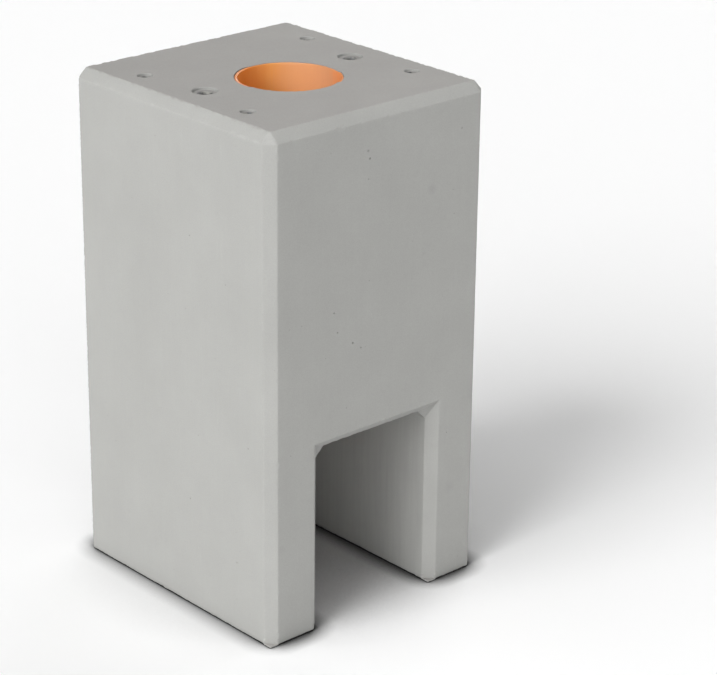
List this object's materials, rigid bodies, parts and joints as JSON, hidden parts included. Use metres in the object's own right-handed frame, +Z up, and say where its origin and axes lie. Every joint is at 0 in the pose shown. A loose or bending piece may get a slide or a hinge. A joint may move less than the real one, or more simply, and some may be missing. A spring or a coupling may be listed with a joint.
{
  "type": "precast concrete foundation",
  "caption": "Upright precast concrete foundation block with a cable tunnel at its foot, a cast-in upright plastic conduit and threaded sockets in its top.",
  "frame": {"origin": "middle of the underside, on the ground", "axes": "+Z up along the block, -Y out of the tunnel mouth nearer the pipe, +X across the tunnel"},
  "size_m": [0.42, 0.45, 0.79],
  "materials": {
    "cast_concrete": "smooth from the mould, matt",
    "orange_pipe_plastic": "extruded, satin",
    "zinc_plated_steel": "zinc plated, dulled by cement"
  },
  "bodies": {
    "root": {"concrete_body": "cast_concrete", "conduit_pipe": "orange_pipe_plastic", "anchor_socket_front_left": "zinc_plated_steel", "anchor_socket_front_right": "zinc_plated_steel", "anchor_socket_back_left": "zinc_plated_steel", "anchor_socket_back_right": "zinc_plated_steel", "lifting_socket_left": "zinc_plated_steel", "lifting_socket_right": "zinc_plated_steel"}
  },
  "joints": []
}
